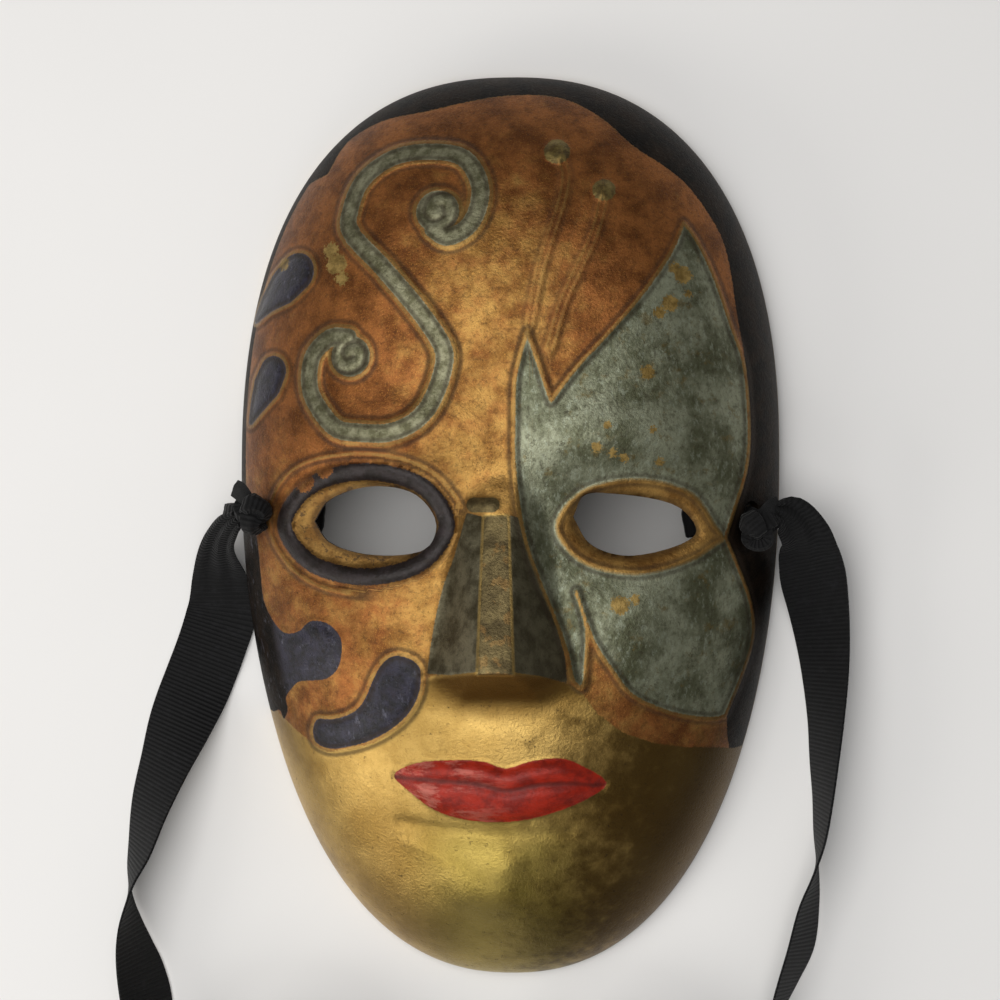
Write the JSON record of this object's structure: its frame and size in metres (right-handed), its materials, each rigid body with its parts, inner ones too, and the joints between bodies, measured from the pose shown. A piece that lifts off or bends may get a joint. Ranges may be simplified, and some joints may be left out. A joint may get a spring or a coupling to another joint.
{
  "type": "venetian masquerade mask",
  "caption": "Full-face domed masquerade mask with cut-out eyes, a faceted nose, raised scroll and wing ornament, and a ribbon tie at each temple.",
  "frame": {"origin": "centre of the mask shell's footprint, on the surface that its rim rests on", "axes": "+Z out of the face, +Y towards the forehead, +X to the right of someone looking at the face"},
  "size_m": [0.1656, 0.2768, 0.0515],
  "materials": {
    "mask_brass": "aged brass, partly painted in copper, green and blue-black enamel, semi-gloss",
    "ribbon": "black grosgrain, matte"
  },
  "bodies": {
    "mask": {"mask_shell": "mask_brass", "left_ribbon_loop": "ribbon", "left_knot": "ribbon", "left_knot_end": "ribbon", "right_ribbon_loop": "ribbon", "right_knot": "ribbon", "right_knot_end": "ribbon"},
    "left_tie": {"left_ribbon": "ribbon", "left_ribbon_roll": "ribbon"},
    "right_tie": {"right_ribbon": "ribbon", "right_ribbon_roll": "ribbon"}
  },
  "joints": [
    {"name": "left_tie_swing", "type": "hinge", "parent": "mask", "child": "left_tie", "pos_m": [-0.0576, 0.0029, 0.022], "axis": [0, 0, 1], "range_deg": [-60, 0]},
    {"name": "right_tie_swing", "type": "hinge", "parent": "mask", "child": "right_tie", "pos_m": [0.0576, 0.0029, 0.022], "axis": [0, 0, 1], "range_deg": [0, 60]}
  ]
}
